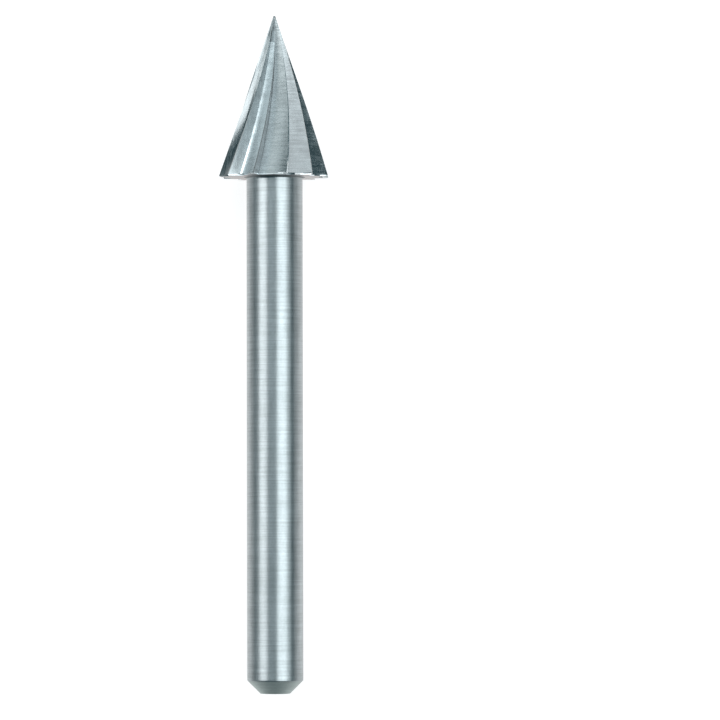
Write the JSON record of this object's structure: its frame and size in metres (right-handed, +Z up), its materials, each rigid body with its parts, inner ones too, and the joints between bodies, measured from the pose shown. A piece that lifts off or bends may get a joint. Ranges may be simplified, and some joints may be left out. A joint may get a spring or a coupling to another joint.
{
  "type": "rotary burr",
  "caption": "Pointed cone-shaped rotary burr with spiral teeth ground along its head, one piece with a plain round collet shank.",
  "frame": {"origin": "on the table, under the middle of the part's overall box", "axes": "+Y towards the tip of the head, +Z up; the burr lies at rest on two tooth corners and the rim of the shank's end"},
  "size_m": [0.0062, 0.0384, 0.0061],
  "materials": {
    "steel": "ground high-speed steel, satin, with fine turning marks around the shank"
  },
  "bodies": {
    "root": {"burr": "steel"}
  },
  "joints": []
}
